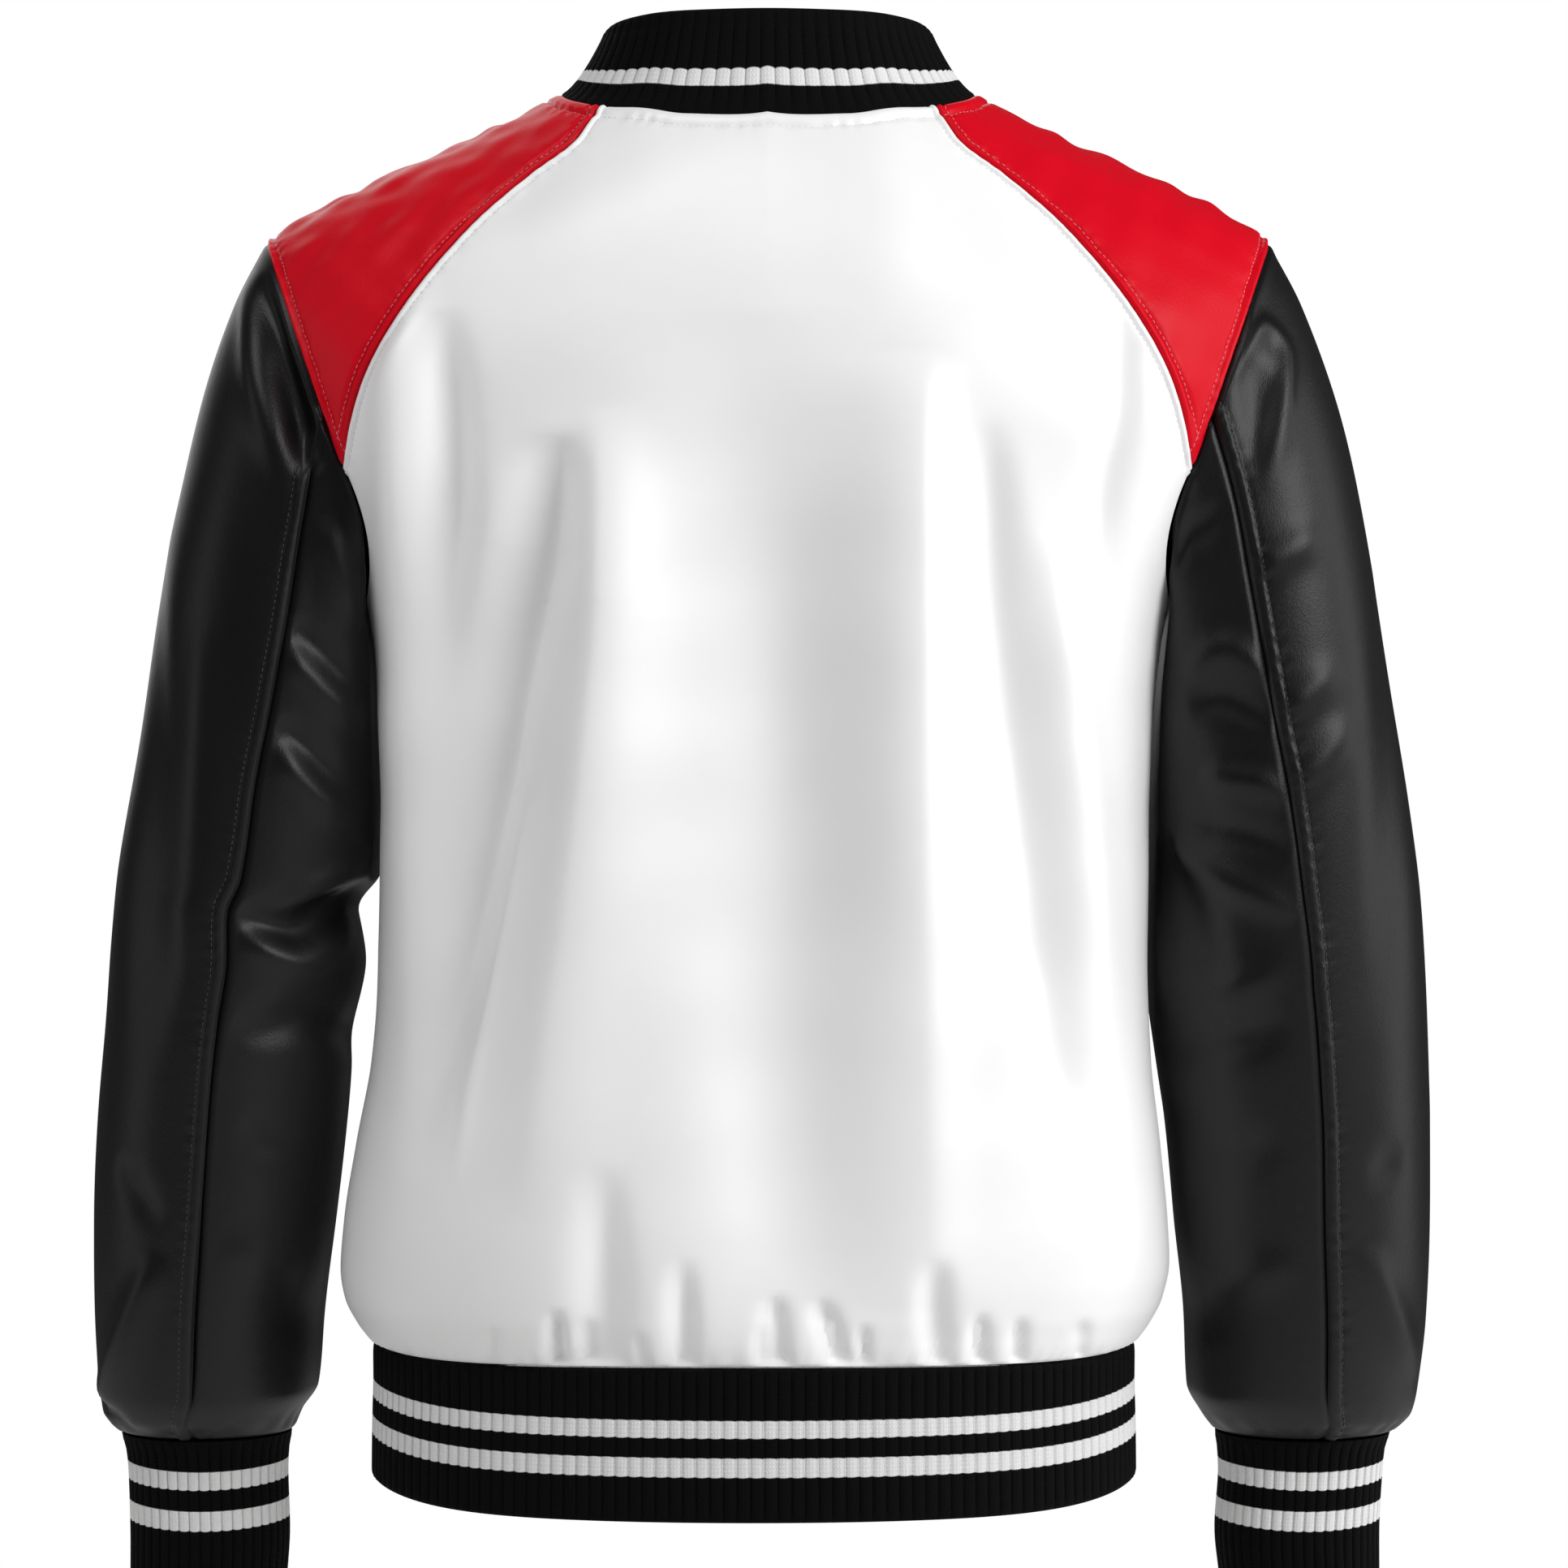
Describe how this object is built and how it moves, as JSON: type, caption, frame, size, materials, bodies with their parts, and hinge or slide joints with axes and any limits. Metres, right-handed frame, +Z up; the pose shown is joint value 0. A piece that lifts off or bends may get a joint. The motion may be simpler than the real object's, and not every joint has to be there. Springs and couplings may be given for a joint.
{
  "type": "varsity jacket",
  "caption": "Hollow snap-front jacket with a white body, red raglan shoulder yokes, black leather sleeves and striped rib-knit collar, cuffs and hem.",
  "frame": {"origin": "middle of the neck, level with the points where the neck seam crosses the two shoulder ridges; the wearer's shoulders carry the jacket there", "axes": "+Z up, the front faces -Y, the wearer's left is +X"},
  "size_m": [0.665, 0.2641, 0.7685],
  "materials": {
    "body_cloth": "smooth satin-faced woven cloth, white",
    "shoulder_leather": "smooth leather with a soft sheen, red",
    "sleeve_leather": "smooth leather with a soft sheen, black",
    "rib_knit": "rib knit, black with white stripes knitted in",
    "snap_enamel": "gloss black enamel"
  },
  "bodies": {
    "root": {"back_panel": "body_cloth", "front_panel_left": "body_cloth", "front_panel_right": "body_cloth", "shoulder_panel_left": "shoulder_leather", "shoulder_panel_right": "shoulder_leather", "sleeve_top_left": "sleeve_leather", "sleeve_top_right": "sleeve_leather", "sleeve_under_left": "sleeve_leather", "sleeve_under_right": "sleeve_leather", "collar_rib": "rib_knit", "hem_rib": "rib_knit", "cuff_rib_left": "rib_knit", "cuff_rib_right": "rib_knit", "snap_1": "snap_enamel", "snap_2": "snap_enamel", "snap_3": "snap_enamel", "snap_4": "snap_enamel", "snap_5": "snap_enamel", "snap_6": "snap_enamel", "snap_7": "snap_enamel"}
  },
  "joints": []
}
